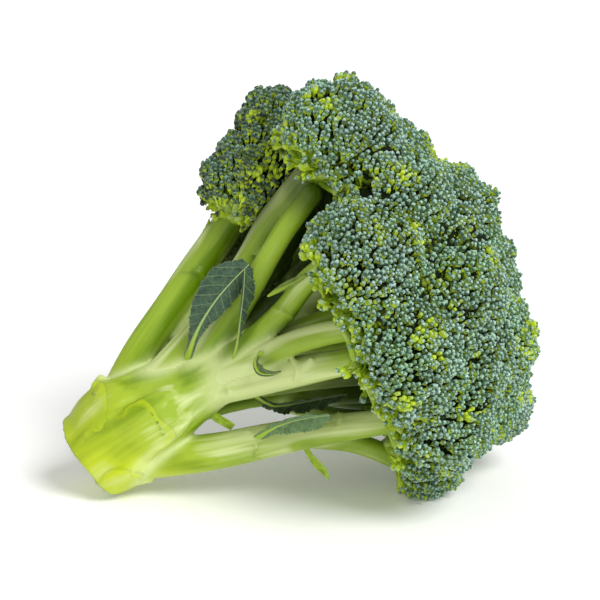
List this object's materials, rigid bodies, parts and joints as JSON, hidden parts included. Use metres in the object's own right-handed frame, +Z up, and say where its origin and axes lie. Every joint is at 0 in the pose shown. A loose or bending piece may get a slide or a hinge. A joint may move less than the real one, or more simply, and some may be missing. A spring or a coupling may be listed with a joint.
{
  "type": "broccoli head",
  "caption": "Head of broccoli, as picked, lying on its side: a cut stalk that fans into branches, a domed crown of bud florets and a few small leaves.",
  "frame": {"origin": "middle of the head's outline seen from above, on the surface that it lies on", "axes": "+X from the cut of the stalk towards the crown, the head's longest way; +Z up; -Y is the side with the large leaf"},
  "size_m": [0.176, 0.14, 0.1553],
  "materials": {
    "stalk": "waxy skin of the stalk, yellow-green towards the cut",
    "branch": "waxy skin of the branches, pale to mid green, streaked along the stem",
    "buds": "closed flower buds with a blue-green wax bloom, matte",
    "leaf": "dark blue-green leaf with pale veins, satin"
  },
  "bodies": {
    "root": {"main_stalk": "stalk", "branch_upper_left": "branch", "branch_upper_mid": "branch", "branch_upper_near": "branch", "branch_upper_far": "branch", "branch_near_high": "branch", "branch_near_mid": "branch", "branch_near_low": "branch", "branch_low": "branch", "branch_low_tip": "branch", "branch_far_low": "branch", "branch_far_bottom": "branch", "branch_far_mid": "branch", "branch_far_front": "branch", "branch_far_high": "branch", "branch_far_top": "branch", "branch_crown_far": "branch", "branch_crown_high": "branch", "branch_crown_near": "branch", "branch_crown_low": "branch", "branch_top_middle": "branch", "branch_near_top": "branch", "branch_front_low": "branch", "branch_front_far": "branch", "branch_front_bottom": "branch", "floret_upper_left": "buds", "floret_upper_far": "buds", "floret_top": "buds", "floret_top_far": "buds", "floret_near_high": "buds", "floret_near_low": "buds", "floret_near_front": "buds", "floret_near_bottom": "buds", "floret_crown_high": "buds", "floret_crown_middle": "buds", "floret_crown_low": "buds", "floret_bottom": "buds", "floret_bottom_front": "buds", "floret_bottom_far": "buds", "floret_far_high": "buds", "floret_far_front": "buds", "floret_far_mid": "buds", "floret_far_low": "buds", "floret_top_middle": "buds", "floret_near_top": "buds", "floret_front_low": "buds", "floret_front_far": "buds", "floret_front_bottom": "buds", "leaf_large": "leaf", "leaf_folded": "leaf", "leaf_high_stub": "leaf", "leaf_collar": "leaf", "leaf_low": "leaf", "leaf_behind": "leaf", "leaf_hanging": "leaf", "leaf_gap_stub": "leaf"}
  },
  "joints": []
}
